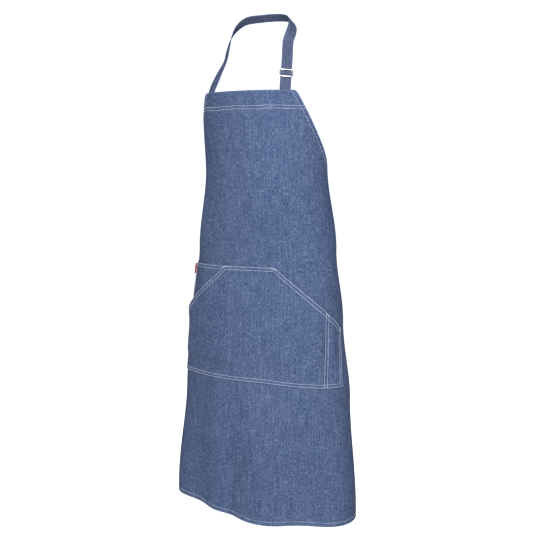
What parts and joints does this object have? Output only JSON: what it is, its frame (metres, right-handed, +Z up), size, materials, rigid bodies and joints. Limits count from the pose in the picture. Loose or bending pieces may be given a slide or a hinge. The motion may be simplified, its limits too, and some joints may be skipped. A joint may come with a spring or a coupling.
{
  "type": "welding apron",
  "caption": "Denim bib apron for welding, with a buckled neck strap, a slant-mouthed front pocket over a patch pocket, and waist ties knotted in a bow.",
  "frame": {"origin": "middle of the neck strap's inner face at the nape, where the apron hangs from the wearer's neck", "axes": "+Z up along the apron's length, -Y out of the apron's front, +X towards the wearer's left"},
  "size_m": [0.4253, 0.24, 1.0884],
  "materials": {
    "denim": "matt",
    "denim_inside": "matt",
    "strap_denim": "matt",
    "tab_cloth": "satin",
    "nickel": "polished"
  },
  "bodies": {
    "neck_strap": {"neck_strap": "strap_denim", "strap_return": "strap_denim"},
    "buckle": {"slide_buckle": "nickel"},
    "bib": {"bib_panel": "denim", "top_facing": "denim_inside", "armhole_hem_left": "denim_inside", "armhole_hem_right": "denim_inside", "strap_end_left": "strap_denim", "strap_end_right": "strap_denim", "strap_turn_left": "strap_denim", "strap_keeper": "strap_denim", "waist_tie_left": "strap_denim", "waist_tie_right": "strap_denim", "bow_knot": "strap_denim", "bow_loop_left": "strap_denim", "bow_loop_right": "strap_denim"},
    "skirt": {"skirt_panel": "denim", "side_hem_left": "denim_inside", "side_hem_right": "denim_inside", "bottom_hem": "denim_inside", "main_pocket": "denim", "patch_pocket": "denim", "side_tab": "tab_cloth"},
    "tail_left": {"tie_tail_left": "strap_denim"},
    "tail_right": {"tie_tail_right": "strap_denim"}
  },
  "joints": [
    {"name": "bib_swing", "type": "hinge", "parent": "neck_strap", "child": "bib", "pos_m": [0, -0.12635, -0.167], "axis": [-1, 0, 0], "range_deg": [-20, 35], "stiffness_Nm_per_rad": 0.5, "springref_deg": -13.5},
    {"name": "skirt_swing", "type": "hinge", "parent": "bib", "child": "skirt", "pos_m": [0, -0.14, -0.467], "axis": [-1, 0, 0], "range_deg": [0, 40], "stiffness_Nm_per_rad": 0.85, "springref_deg": -20.05},
    {"name": "buckle_slide", "type": "slide", "parent": "neck_strap", "child": "buckle", "axis": [-0.121, 0.3804, 0.9169], "range_m": [-0.018, 0.05], "deforming": ["strap_return"]},
    {"name": "tie_tail_left_swing", "type": "hinge", "parent": "bib", "child": "tail_left", "pos_m": [0.013, 0.0497, -0.4645], "axis": [1, 0, 0], "range_deg": [-15, 55]},
    {"name": "tie_tail_right_swing", "type": "hinge", "parent": "bib", "child": "tail_right", "pos_m": [-0.013, 0.0497, -0.4645], "axis": [1, 0, 0], "range_deg": [-15, 55]}
  ]
}
